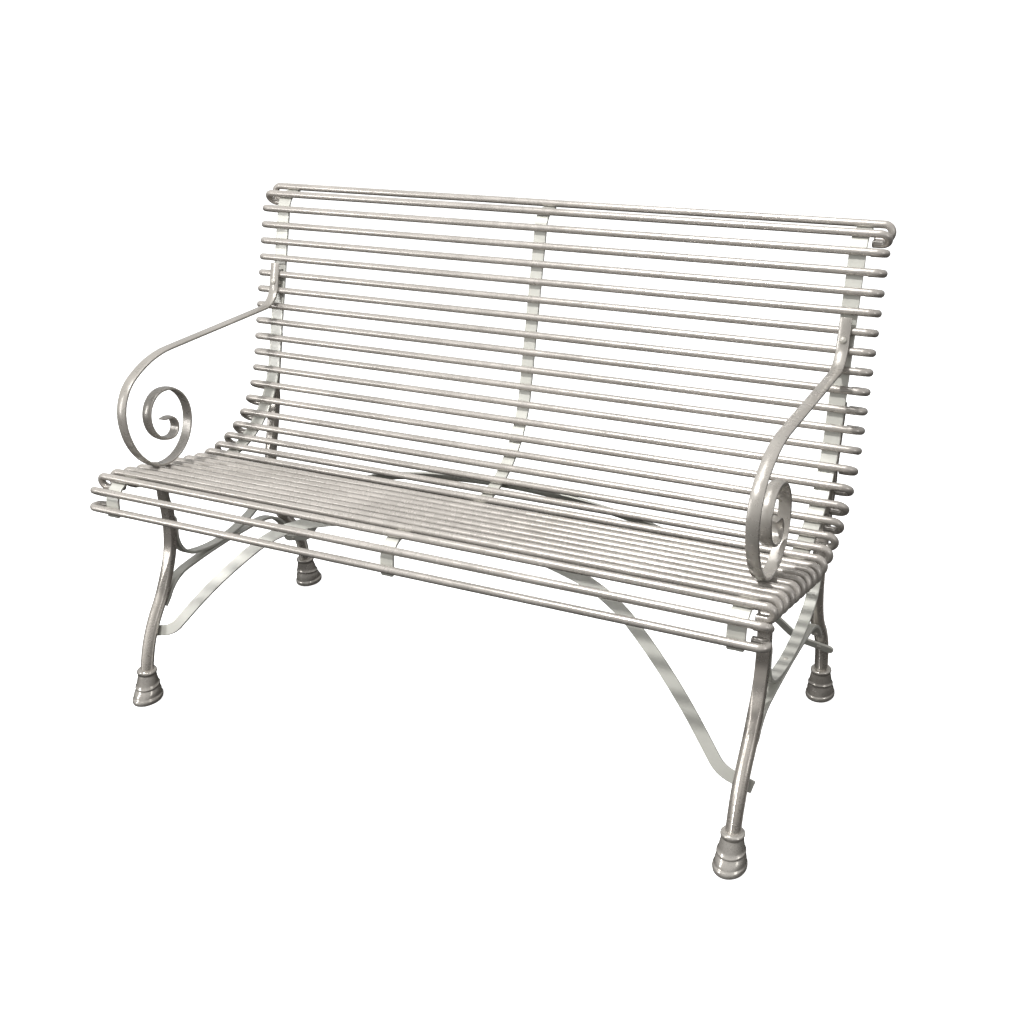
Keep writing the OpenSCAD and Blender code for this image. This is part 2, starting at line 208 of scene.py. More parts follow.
def slat_at(k):
    return at(PROFILE, START, (SLATS - k) * PITCH)


STRAP_O = SLAT_R + STRAP_T / 2
STRAP_START = off(advance(START, (-STRAP_TAIL, 0)), STRAP_O)
STRAP_CHAIN = beside([(FRONT_DROP + STRAP_TAIL, 0)] + MIDDLE
                     + [(CREST_R, -CREST - math.degrees(STRAP_TOP / CREST_R))], STRAP_O)

TAB_O = SLAT_R + STRAP_T + TAB_T / 2
FRONT_SWEEP, REAR_SWEEP, REAR_HOOK = 262 * MM, 400 * MM, 150 * MM
FRONT_START = advance(off(slat_at(27), TAB_O), (-22 * MM, 0))
FRONT_FLAT = [(48 * MM, 0), (26 * MM, SEAT_ANGLE - 90), (54 * MM, 0)]
FRONT_ROUND = [(FRONT_SWEEP, -40), (250 * MM, 31), (18 * MM, 0)]
REAR_TOP = advance(off(slat_at(11), TAB_O), (12 * MM, 0))
REAR_START = (REAR_TOP[0], REAR_TOP[1], REAR_TOP[2] - 180)
REAR_FLAT = [(144 * MM, 0)]
REAR_ROUND = [(62 * MM, 0), (REAR_SWEEP, 90 - BACK_ANGLE), (REAR_HOOK, 42), (150 * MM, -36),
              (56 * MM, 0)]
FRONT_KNEE = after(FRONT_FLAT, FRONT_START)
REAR_KNEE = after(REAR_FLAT, REAR_START)
FRONT_FOOT = after(FRONT_ROUND, FRONT_KNEE)
REAR_FOOT = after(REAR_ROUND, REAR_KNEE)
FRONT_C = (FRONT_KNEE[0] - FRONT_SWEEP, FRONT_KNEE[1])
REAR_WAIST = after(REAR_ROUND, REAR_KNEE, 2)
REAR_C = (REAR_WAIST[0] + REAR_SWEEP, REAR_WAIST[1])
HOOK_C = (REAR_WAIST[0] + REAR_HOOK, REAR_WAIST[1])
GRIP = LEG_R + BRACE_T / 2

TOUCH_Y, TOUCH_Z = -36 * MM, 218 * MM
SAG_Z, ARCH_Z = TOUCH_Z + BRACE_T / 2, TOUCH_Z - BRACE_T / 2
sag_front = radii(TOUCH_Y - FRONT_C[0] - (FRONT_SWEEP + GRIP) * cos(8),
                  FRONT_C[1] - (FRONT_SWEEP + GRIP) * sin(8) - SAG_Z, 15, 98)
sag_rear = radii(REAR_C[0] - (REAR_SWEEP + GRIP) * cos(5) - TOUCH_Y,
                 REAR_C[1] + (REAR_SWEEP + GRIP) * sin(5) - SAG_Z, 25, 85)
arch_front = radii(TOUCH_Y - FRONT_C[0] - (FRONT_SWEEP + GRIP) * cos(34),
                   ARCH_Z - FRONT_C[1] + (FRONT_SWEEP + GRIP) * sin(34), 5, 56)
arch_rear = radii(HOOK_C[0] - (REAR_HOOK + GRIP) * cos(36) - TOUCH_Y,
                  ARCH_Z - HOOK_C[1] + (REAR_HOOK + GRIP) * sin(36), 4, 54)
# Each brace as one chain from its front end to its rear end.
SAG_CHAIN = [(FRONT_SWEEP + GRIP, -6), (sag_front[1], 83), (sag_front[0], 15),
             (sag_rear[0], 25), (sag_rear[1], 60), (REAR_SWEEP + GRIP, -3)]
ARCH_CHAIN = [(FRONT_SWEEP + GRIP, 4), (arch_front[1], -51), (arch_front[0], -5),
              (arch_rear[0], -4), (arch_rear[1], -50), (REAR_HOOK + GRIP, 5)]


def start_of(chain, halfway, count):
    """Where a chain starts, if after that many steps it is at halfway."""
    s = (halfway[0], halfway[1], halfway[2] + 180)
    for step in reversed(chain[:count]):
        s = advance(s, (step[0], -step[1]))
    return (s[0], s[1], s[2] - 180)


SAG_START = start_of(SAG_CHAIN, (TOUCH_Y, SAG_Z, 0), 3)
ARCH_START = start_of(ARCH_CHAIN, (TOUCH_Y, ARCH_Z, 0), 3)

# Places counted in slats: the scroll's slat, the arm's bolt and a tab rivet between slats.
SCROLL_SLAT, ARM_BOLT, TAB_RIVET = 26, 7.5, 27.5
# Room for the scroll's curve under its rivet head.
SCROLL_ROOM = 0.6 * MM
arm_at = off(at(PROFILE, START, (SLATS - 8) * PITCH + 53 * MM), -SLAT_R - ARM_T / 2)
ARM_START = (arm_at[0], arm_at[1], arm_at[2] - 180)
ARM_CHAIN = [(46.7 * MM, 0), (45 * MM, -BACK_ANGLE), (279.8 * MM, 0), (200 * MM, 30),
             (79.9 * MM, 60), (120 * MM, 50), (75 * MM, 130), (62 * MM, 90), (44 * MM, 90),
             (50 * MM, 90), (19 * MM, 90), (20 * MM, 90), (12 * MM, 0)]

FRONT_CROSS = [(940 * MM, -15.5), (290 * MM, -26.5), (1100 * MM, -10), (41 * MM, 0),
               (55 * MM, 38), (36 * MM, 0)]
REAR_CROSS = [(972 * MM, -15.5), (290 * MM, -26.5), (1100 * MM, -10), (25 * MM, 0),
              (55 * MM, 38), (38 * MM, 0)]
FRONT_CROSS_AT, FRONT_LEAN = (-134.5 * MM, 396 * MM), 21.5
REAR_CROSS_AT, REAR_LEAN = (88 * MM, 386.5 * MM), -22


# ---- Mesh builders ----

def make_object(name, verts, faces, material, slot, stands_for=()):
    """A closed piece that rides on the body, takes a material and stands for CAD nodes; its slot is
    not used.
    """
    mesh = bpy.data.meshes.new(name)
    mesh.from_pydata(verts, [], faces)
    bm = bmesh.new()
    bm.from_mesh(mesh)
    bmesh.ops.recalc_face_normals(bm, faces=bm.faces)
    bm.to_mesh(mesh)
    bm.free()
    for p in mesh.polygons:
        p.use_smooth = True
    obj = bpy.data.objects.new(name, mesh)
    bpy.context.scene.collection.objects.link(obj)
    mesh.materials.append(material)
    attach(obj, "root")
    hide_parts(*stands_for)
    weigh_normals(obj)
    return obj


def weigh_normals(obj):
    """Keeps broad faces flat in the shading next to their rounded edges."""
    mod = obj.modifiers.new("weighted", "WEIGHTED_NORMAL")
    mod.weight = 80
    mod.keep_sharp = True


def skin(rings, closed_ends=True):
    """Vertices and faces over a list of rings with the same number of points."""
    n = len(rings[0])
    verts = [p for ring in rings for p in ring]
    faces = []
    for i in range(len(rings) - 1):
        for j in range(n):
            a, b = i * n + j, i * n + (j + 1) % n
            faces.append((a, b, b + n, a + n))
    if closed_ends:
        faces.append(tuple(reversed(range(n))))
        faces.append(tuple(range((len(rings) - 1) * n, len(rings) * n)))
    return verts, faces


def rounded(half_a, half_b, radius, steps=4, flats=2):
    """A rounded rectangle's outline; its points keep their order for any radius."""
    radius = min(radius, half_a, half_b)
    outline = []
    corners = ((1, 1, 0), (-1, 1, 90), (-1, -1, 180), (1, -1, 270))
    for i, (sa, sb, turn) in enumerate(corners):
        ca, cb = sa * (half_a - radius), sb * (half_b - radius)
        for k in range(steps + 1):
            a = turn + 90 * k / steps
            outline.append((ca + radius * cos(a), cb + radius * sin(a)))
        na, nb, nturn = corners[(i + 1) % 4]
        end = (na * (half_a - radius) + radius * cos(nturn),
               nb * (half_b - radius) + radius * sin(nturn))
        for k in range(1, flats + 1):
            t = k / (flats + 1)
            outline.append((outline[-k][0] * (1 - t) + end[0] * t,
                            outline[-k][1] * (1 - t) + end[1] * t))
    return outline


def shrink(outline, by):
    """The outline pulled in towards its middle by a small distance."""
    pulled = []
    for a, b in outline:
        length = math.hypot(a, b) or 1
        pulled.append((a - a / length * min(by, length), b - b / length * min(by, length)))
    return pulled


def wobble(x, y, z, size, scale):
    """A smooth, repeatable unevenness in -size .. size."""
    return size * noise.noise(Vector((x, y, z)) * scale)


def bar_rings(points, section, place, bevel=0.8 * MM):
    """Rings of a section(distance, total) along points, with its two ends bevelled."""
    total = points[-1][3]
    rings = []
    for i, (y, z, a, d) in enumerate(points):
        outline = section(d, total)
        if i in (0, len(points) - 1):
            inward = 1 if i == 0 else -1
            tip = [place(y, z, a, p, q) for p, q in shrink(outline, bevel)]
            shoulder = [place(y + inward * bevel * cos(a), z + inward * bevel * sin(a), a, p, q)
                        for p, q in outline]
            rings += [tip, shoulder] if i == 0 else [shoulder, tip]
        else:
            rings.append([place(y, z, a, p, q) for p, q in outline])
    return rings


def upright(x, uneven=BAR_UNEVEN):
    """Places a section's (across, sideways) point on a chain drawn in the YZ plane at x."""
    def place(y, z, a, across, sideways):
        p = Vector((x + sideways, y - across * sin(a), z + across * cos(a)))
        shift = wobble(x + across * 9, y, z, uneven, 22)
        return p + Vector((wobble(y, z, x, uneven, 14), -shift * sin(a), shift * cos(a)))
    return place


def ease(d, start, length):
    """0 up to start, 1 a length further on, smooth between."""
    t = min(1, max(0, (d - start) / length))
    return t * t * (3 - 2 * t)


def fade(value, t):
    """From value at t = 0 to 1 at t = 1, easing out like a forged taper."""
    return value + (1 - value) * math.sqrt(1 - (1 - t) ** 2)


def flat_bar(name, node, x, chain, start, thickness, width, material, edge=1.3 * MM,
             end_taper=(1, 1), end_width=(1, 1), start_run=14 * MM, end_run=34 * MM, crown=0):
    """A flat bar bent along a chain, with softened edges and forged ends.

    end_taper and end_width are the shares of thickness and width left at the start and the end,
    and crown is how much thinner one face's edges are than its middle.
    """
    def section(d, total):
        first = min(1, d / start_run)
        last = min(1, (total - d) / end_run)
        thin = fade(end_taper[0], first) * fade(end_taper[1], last)
        narrow = fade(end_width[0], first) * fade(end_width[1], last)
        depth, half = thickness / 2 * thin, width / 2 * narrow
        return [(a + crown * thin * (b / half) ** 2 * (depth - a) / (2 * depth), b)
                for a, b in rounded(depth, half, edge * min(thin, narrow), 6, 5)]
    rings = bar_rings(samples(chain, start), section, upright(x))
    return make_object(name, *skin(rings), material, "bar_paint", [node])


def leg_section(tab, squared):
    """A leg's section by distance: a flat tab, a squared stretch, then round."""
    def section(d, total):
        t = ease(d, tab, TAB_BLEND)
        u = ease(d, squared, ROUND_BLEND)
        depth = TAB_T / 2 + (SQUARED_HALF - TAB_T / 2) * t + (LEG_R - SQUARED_HALF) * u
        half_w = TAB_W / 2 + (LEG_R - TAB_W / 2) * u
        radius = TAB_EDGE + (SQUARED_EDGE - TAB_EDGE) * t + (LEG_R - SQUARED_EDGE) * u
        back = TAB_T / 2 + (LEG_R - TAB_T / 2) * t
        return [(a + back - depth, b) for a, b in rounded(depth, half_w, radius, 6, 2)]
    return section


def leg(name, node, x, chain, start, tab, squared, material):
    """A forged leg: its flat top morphs into a squared, then a round S."""
    rings = bar_rings(samples(chain, start, 6 * MM, 3), leg_section(tab, squared),
                      upright(x, LEG_UNEVEN), bevel=1.5 * MM)
    return make_object(name, *skin(rings), material, "leg_paint", [node])


def slat(k, material):
    """A round bar along X whose two ends are bent back into hooks and cut off."""
    y0, z0, a = slat_at(k)
    back = Vector((0, sin(a), -cos(a)))
    up = Vector((0, cos(a), sin(a)))
    r = NOSE_HOOK_R if k >= SLATS - 2 else HOOK_R
    reach = BENCH_HALF - SLAT_R - r
    centre = Vector((0, y0, z0))
    hook_cuts, cuts, turns = 16, 40, 24
    # Distance from the hook's cut end and how much the radius is worn there, in mm.
    wear = ((0, 2.4), (0.25, 1.3), (0.8, 0.5), (1.6, 0.1), (2.6, 0), (8, 0))
    side = [(Vector((reach - HOOK_TAIL + t * MM, 0, 2 * r)), 180, worn * MM)
            for t, worn in wear]
    for i in range(hook_cuts + 1):
        b = 180 * i / hook_cuts
        side.append((Vector((reach + r * sin(b), 0, r + r * cos(b))), 180 - b, 0))
    path = list(side)
    path += [(Vector((reach * (1 - 2 * i / cuts), 0, 0)), 0, 0) for i in range(1, cuts)]
    path += [(Vector((-p.x, 0, p.z)), -heading, worn) for p, heading, worn in reversed(side)]
    rings = []
    for p, heading, worn in path:
        lift = Vector((sin(heading), 0, -cos(heading)))
        radius = SLAT_R - worn
        radius -= SLAT_THINNING * (1 + noise.noise(Vector((p.x * 9, k * 3.1, 0))))
        sway = Vector((0, 0, 0))
        if abs(p.x) < reach:
            bend = 1 - (p.x / reach) ** 2
            sway = Vector((0, wobble(p.x, k, 0, SLAT_SWAY, 3) * bend,
                           wobble(p.x, k, 9, SLAT_SWAY, 3) * bend))
        ring = []
        for j in range(turns):
            b = 360 * j / turns
            q = p + sway + lift * (radius * cos(b)) + Vector((0, 1, 0)) * (radius * sin(b))
            ring.append(centre + Vector((q.x, 0, 0)) + back * q.z + up * q.y)
        rings.append(ring)
    return make_object(f"bar_slat_{k:02d}", *skin(rings), material, "slat_paint",
                       [f"slat_{k:02d}"])


def cross_bar(name, node, chain, at_yz, lean, width, end_r, material):
    """A flat bar arching from side to side in a leaning plane; end_r rounds and widens its tips."""
    whole = list(reversed(chain)) + chain
    start = start_of(whole, (0, 0, 0), len(chain))
    rise = Vector((0, sin(lean), cos(lean)))
    out = Vector((0, -cos(lean), sin(lean)))
    origin = Vector((0, at_yz[0], at_yz[1]))

    def place(u, v, a, across, through):
        p = Vector((u - across * sin(a), v + across * cos(a)))
        shift = wobble(u, v, through * 20, CROSS_UNEVEN, 12)
        return origin + Vector((p.x, 0, 0)) + rise * (p.y + shift) + out * through

    def section(d, total):
        near = min(d, total - d)
        half = width / 2
        if near < 2 * end_r:
            half += (end_r - half) * (1 - near / (2 * end_r))
        if near < end_r:
            half = max(CROSS_TIP, half * math.sqrt(1 - (1 - near / end_r) ** 2))
        return rounded(half, CROSS_T / 2, CROSS_EDGE)

    first = advance(start, (-end_r, 0))
    ends = [(end_r, 0)] + whole + [(end_r, 0)] if end_r else whole
    points = samples(ends, first, 14 * MM, 3)
    total = points[-1][3]
    tip_cuts = 8 if end_r else 0
    for i in range(1, tip_cuts):
        d = end_r * (1 - cos(90 * i / tip_cuts))
        points.append(at(ends, first, d) + (d,))
        points.append(at(ends, first, total - d) + (total - d,))
    points.sort(key=lambda p: p[3])
    rings = bar_rings(points, section, place, bevel=0.7 * MM)
    return make_object(name, *skin(rings), material, "bar_paint", [node])


def matrix_at(p, heading, x):
    """A frame at (y, z) whose z points along the heading."""
    return (Matrix.Translation((x, p[0], p[1])) @
            Matrix.Rotation(math.radians(heading - 90), 4, "X"))


def behind(s, x):
    """A frame on a chain's right-hand side, with z away from the chain."""
    return matrix_at(s, s[2] - 90, x)


def dome(radius, height, seed, turns=20, levels=6):
    """A hammered rivet head on z = 0, slightly tilted and out of round, as rings."""
    slope, out_of_round, top_ring = 0.06, 0.035, 84
    random.seed(seed)
    tilt = Vector((random.uniform(-slope, slope), random.uniform(-slope, slope)))
    rings = []
    for i in range(levels):
        b = top_ring * i / (levels - 1)
        ring = []
        for j in range(turns):
            a = 360 * j / turns
            uneven = out_of_round * noise.noise(Vector((cos(a), sin(a), seed)))
            r = radius * cos(b) * (1 + uneven)
            z = height * sin(b) + (tilt.x * cos(a) + tilt.y * sin(a)) * r * sin(b)
            ring.append(Vector((r * cos(a), r * sin(a), max(0, z))))
        rings.append(ring)
    return rings


def merged(name, node, parts, material):
    """One piece from several (matrix, rings) parts."""
    verts, faces = [], []
    for matrix, rings in parts:
        v, f = skin(rings)
        base = len(verts)
        verts += [matrix @ p for p in v]
        faces += [tuple(base + i for i in face) for face in f]
    return make_object(name, verts, faces, material, "rivet_paint", [node])


def tube_rings(profile, turns=28):
    """Rings of a turned shape from (radius, z) points in mm."""
    circle = [(cos(360 * j / turns), sin(360 * j / turns)) for j in range(turns)]
    return [[Vector((r * MM * u, r * MM * v, z * MM)) for u, v in circle] for r, z in profile]


# ---- Hoof ----

def hoof(name, node, foot, toe, x, material):
    """A cast hoof: a rolled collar, a widening pastern, a coronet ridge and a banded sole."""
    lean = cos(foot[2]) / sin(foot[2])
    sole_y = foot[0] - foot[1] * lean
    turns, roughness = 48, 0.012
    # The coronet dips and the collar's lip rises towards the toe, in mm.
    ridge_z, ridge_reach, ridge_dip = 29, 14, 3
    lip_z, lip_reach, lip_rise = 50, 11, 2
    # Height and the reach to the sides, the toe and the heel, in mm, from the sole up.
    rows = ((0, 23.4, 29, 27), (0.8, 24.8, 31, 29), (2.5, 25.7, 32.4, 30.5),
            (5.5, 26, 32.9, 31), (8.5, 25.7, 32.4, 30.7), (10.2, 24.9, 31.2, 29.7),
            (11.2, 24.0, 29.9, 28.6), (13, 23.9, 29.5, 28.2), (17, 23.6, 28.3, 27.2),
            (21, 22.9, 26.4, 25.6), (25, 21.8, 24.2, 23.9), (27.4, 20.9, 22.6, 22.6),
            (28.4, 21.6, 23.2, 23.1), (30, 22.4, 23.9, 23.6), (31.6, 21.9, 23.3, 23.1),
            (32.8, 20.5, 21.6, 21.8), (36, 19.9, 20.5, 20.9), (42, 18.9, 19.3, 19.6),
            (48, 17.8, 18.1, 18.3), (51.5, 17.0, 17.2, 17.3), (52.8, 16.8, 17.0, 17.0),
            (53.8, 17.4, 17.8, 17.5), (55, 18.2, 18.9, 18.2), (57, 18.7, 19.6, 18.6),
            (59, 18.4, 19.2, 18.3), (60.4, 17.3, 18.0, 17.2), (61, 15.8, 16.3, 15.8),
            (61, 12.4, 12.4, 12.4))
    rings = []
    for z_mm, side, front, heel in rows:
        ridge = max(0, 1 - abs(z_mm - ridge_z) / ridge_reach)
        lip = max(0, (z_mm - lip_z) / lip_reach)
        ring = []
        for j in range(turns):
            a = 360 * j / turns
            forward = cos(a)
            reach = front if forward > 0 else heel
            z = z_mm - ridge_dip * ridge * forward + lip_rise * lip * max(0, forward) ** 4
            spot = Vector((sin(a) * 2, forward * 2, z_mm * 0.15 + x))
            knock = 1 + roughness * noise.noise(spot)
            ring.append(Vector((x + side * knock * MM * sin(a),
                                sole_y + z * MM * lean + toe * reach * knock * MM * forward,
                                z * MM)))
        rings.append(ring)
    return make_object(name, *skin(rings), material, "hoof_paint", [node])


# ---- Paint ----

def paint(name, light, dark, rough, coat, speckle, metal=0.2, pitted=0, rub=0.55):
    """Sprayed paint on iron: two close tones, dark chips, fine orange peel and a clear coat.

    speckle is the strength of the chips, pitted adds pits near the ground, and rub is how much
    outer edges are rubbed lighter.
    """
    mat = bpy.data.materials.new(name)
    mat.use_nodes = True
    nodes, links = mat.node_tree.nodes, mat.node_tree.links
    bsdf = nodes["Principled BSDF"]
    coords = nodes.new("ShaderNodeTexCoord")

    def cloud(scale, detail, roughness=0.5):
        node = nodes.new("ShaderNodeTexNoise")
        node.inputs["Scale"].default_value = scale
        node.inputs["Detail"].default_value = detail
        node.inputs["Roughness"].default_value = roughness
        links.new(coords.outputs["Object"], node.inputs["Vector"])
        return node.outputs["Fac"]

    def curve(source, low, high, to_low, to_high):
        node = nodes.new("ShaderNodeMapRange")
        for label, value in (("From Min", low), ("From Max", high), ("To Min", to_low),
                             ("To Max", to_high)):
            node.inputs[label].default_value = value
        links.new(source, node.inputs["Value"])
        return node.outputs["Result"]

    def blend_colours(factor, a, b):
        node = nodes.new("ShaderNodeMix")
        node.data_type = "RGBA"
        links.new(factor, node.inputs["Factor"])
        for socket, value in ((node.inputs[6], a), (node.inputs[7], b)):
            if isinstance(value, tuple):
                socket.default_value = value + (1,)
            else:
                links.new(value, socket)
        return node.outputs[2]

    tone = blend_colours(curve(cloud(9, 4), 0.32, 0.68, 0, 1), dark, light)
    worn = tuple(0.45 * c for c in dark)
    polished = tuple(min(1, 1.25 * c) for c in light)
    chips = curve(cloud(240, 5, 0.65), 0.68, 0.76, 0, speckle)
    colour = blend_colours(chips, tone, worn)
    if pitted:
        split_up = nodes.new("ShaderNodeSeparateXYZ")
        links.new(coords.outputs["Object"], split_up.inputs[0])
        low = curve(split_up.outputs["Z"], 0.07, 0.21, pitted, 0)
        pits = curve(cloud(330, 4, 0.7), 0.53, 0.62, 0, 1)
        both = nodes.new("ShaderNodeMath")
        both.operation = "MULTIPLY"
        links.new(low, both.inputs[0])
        links.new(pits, both.inputs[1])
        colour = blend_colours(both.outputs[0], colour, worn)
    geometry = nodes.new("ShaderNodeNewGeometry")
    rubbed = curve(geometry.outputs["Pointiness"], 0.53, 0.6, 0, rub)
    colour = blend_colours(rubbed, colour, polished)
    links.new(colour, bsdf.inputs["Base Color"])
    gloss = curve(cloud(38, 5, 0.65), 0.3, 0.7, rough - 0.07, rough + 0.09)
    links.new(gloss, bsdf.inputs["Roughness"])
    bump = nodes.new("ShaderNodeBump")
    bump.inputs["Strength"].default_value = 0.12
    bump.inputs["Distance"].default_value = 0.4 * MM
    links.new(cloud(420, 3), bump.inputs["Height"])
    waves = nodes.new("ShaderNodeBump")
    waves.inputs["Strength"].default_value = 0.3
    waves.inputs["Distance"].default_value = 1.5 * MM
    links.new(cloud(16, 1), waves.inputs["Height"])
    links.new(waves.outputs["Normal"], bump.inputs["Normal"])
    links.new(bump.outputs["Normal"], bsdf.inputs["Normal"])
    bsdf.inputs["Metallic"].default_value = metal
    bsdf.inputs["Coat Weight"].default_value = coat
    bsdf.inputs["Coat Roughness"].default_value = 0.12
    return mat


SLAT_PAINT = paint("slat_paint_satin", (0.44, 0.41, 0.375), (0.35, 0.325, 0.295),
                   rough=0.26, coat=0.35, speckle=0.3, metal=0.35, rub=0)
BAR_PAINT = paint("bar_paint_satin", (0.57, 0.565, 0.515), (0.47, 0.465, 0.42),
                  rough=0.34, coat=0.25, speckle=0.3)
ARM_PAINT = paint("arm_paint_satin", (0.41, 0.385, 0.35), (0.32, 0.30, 0.27),
                  rough=0.28, coat=0.35, speckle=0.3, metal=0.35)
LEG_PAINT = paint("leg_paint_gloss", (0.50, 0.465, 0.42), (0.34, 0.31, 0.275),
                  rough=0.25, coat=0.5, speckle=0.5, metal=0.5, pitted=0.75)
HOOF_PAINT = paint("hoof_paint_gloss", (0.56, 0.53, 0.485), (0.30, 0.275, 0.245),
                   rough=0.22, coat=0.5, speckle=0.6, metal=0.55, pitted=0.25)
RIVET_PAINT = paint("rivet_paint_satin", (0.50, 0.48, 0.43), (0.36, 0.34, 0.30),
                    rough=0.34, coat=0.3, speckle=0.4)


# ---- The bench ----

STRAP_ENDS, BRACE_ENDS = (0.9, 0.9), (0.75, 0.75)

for number in range(1, SLATS + 1):
    slat(number, SLAT_PAINT)

for side, sign in SIDES:
    flat_bar(f"strap_bar_{side}", f"strap_{side}", sign * SIDE_X, STRAP_CHAIN, STRAP_START,
             STRAP_T, SIDE_STRAP_W, BAR_PAINT, end_width=STRAP_ENDS)
    flat_bar(f"arm_bar_{side}", f"arm_{side}", sign * SIDE_X, ARM_CHAIN, ARM_START, ARM_T,
             ARM_W, ARM_PAINT, edge=1.6 * MM, end_taper=(0.9, 0.55), end_width=(1, 0.8),
             end_run=60 * MM, crown=2 * MM)
    flat_bar(f"sag_bar_{side}", f"sag_brace_{side}", sign * LEG_X, SAG_CHAIN, SAG_START, BRACE_T,
             BRACE_W, BAR_PAINT, end_width=BRACE_ENDS, end_run=14 * MM)
    flat_bar(f"arch_bar_{side}", f"arch_brace_{side}", sign * LEG_X, ARCH_CHAIN, ARCH_START,
             BRACE_T, BRACE_W, BAR_PAINT, end_width=BRACE_ENDS, end_run=14 * MM)
    leg(f"leg_bar_front_{side}", f"front_leg_{side}", sign * LEG_X, FRONT_FLAT + FRONT_ROUND,
        FRONT_START, FRONT_TAB, FRONT_SQUARED, LEG_PAINT)
    leg(f"leg_bar_rear_{side}", f"rear_leg_{side}", sign * LEG_X, REAR_FLAT + REAR_ROUND,
        REAR_START, REAR_TAB, REAR_SQUARED, LEG_PAINT)
    hoof(f"hoof_cast_front_{side}", f"front_hoof_{side}", FRONT_FOOT, -1, sign * LEG_X,
         HOOF_PAINT)
    hoof(f"hoof_cast_rear_{side}", f"rear_hoof_{side}", REAR_FOOT, 1, sign * LEG_X, HOOF_PAINT)
flat_bar("strap_bar_middle", "strap_middle", 0, STRAP_CHAIN, STRAP_START, STRAP_T,
         MIDDLE_STRAP_W, BAR_PAINT, end_width=STRAP_ENDS)
cross_bar("cross_bar_front", "front_cross_brace", FRONT_CROSS, FRONT_CROSS_AT, FRONT_LEAN,
          FRONT_CROSS_W, 0, BAR_PAINT)
cross_bar("cross_bar_rear", "rear_cross_brace", REAR_CROSS, REAR_CROSS_AT, REAR_LEAN,
          REAR_CROSS_W, CROSS_END_R, BAR_PAINT)


# ---- Fasteners ----

# Slats riveted through a leg's tab, and slats left loose above a leg's bend.
TAB_SLATS, LOOSE_SLATS = (11, 12, 27), (13, 26)
HEAD_R, HEAD_H = 2 * RIVET_R, 2.2 * MM
HEAD_SINK = 0.6 * MM
# Turned shapes as (radius, z), in mm: the arm bolt's shank, its sleeve and its nut.
SHANK = ((2.9, -0.5), (2.9, 29.2), (2.4, 30), (1.2, 30))
SLEEVE = ((5.3, 0.1), (6, 0.8), (6, 12.2), (5.3, 12.9))
NUT = ((5.2, 0), (6, 0.5), (6, 4.2), (5.2, 4.8), (3.1, 4.8))


def head(matrix, radius=HEAD_R, height=HEAD_H):
    """A rivet head whose skirt sinks a little into what it closes."""
    spot = matrix.translation
    rings = dome(radius, height, 40 * spot.x + 70 * spot.y + 90 * spot.z)
    low = [p - Vector((0, 0, HEAD_SINK)) for p in rings[0]]
    return matrix, [low] + rings


def strap_back(k):
    return off(slat_at(k), SLAT_R + STRAP_T)


def tab_back(k):
    return off(slat_at(k), TAB_O + TAB_T / 2)


def on_arc(centre, radius, heading, x):
    """On an arc's outer face, with z off the arc."""
    p = (centre[0] + radius * cos(heading), centre[1] + radius * sin(heading))
    return matrix_at(p, heading, x)


def turned(matrix):
    """The frame with its z the other way."""
    return matrix @ Matrix.Rotation(math.pi, 4, "X")


def cross_place(at_yz, lean, chain, x, face):
    """On a cross bar's face where it passes a leg."""
    tip = after(chain, (0, 0, 0))
    drop = tip[1] + (LEG_X - tip[0]) * math.tan(math.radians(tip[2]))
    out = Vector((0, -cos(lean), sin(lean)))
    spot = Vector((x, at_yz[0], at_yz[1])) + Vector((0, sin(lean), cos(lean))) * drop
    spot += out * face * CROSS_T / 2
    turn = (out * face).to_track_quat("Z", "Y").to_matrix().to_4x4()
    return Matrix.Translation(spot) @ turn


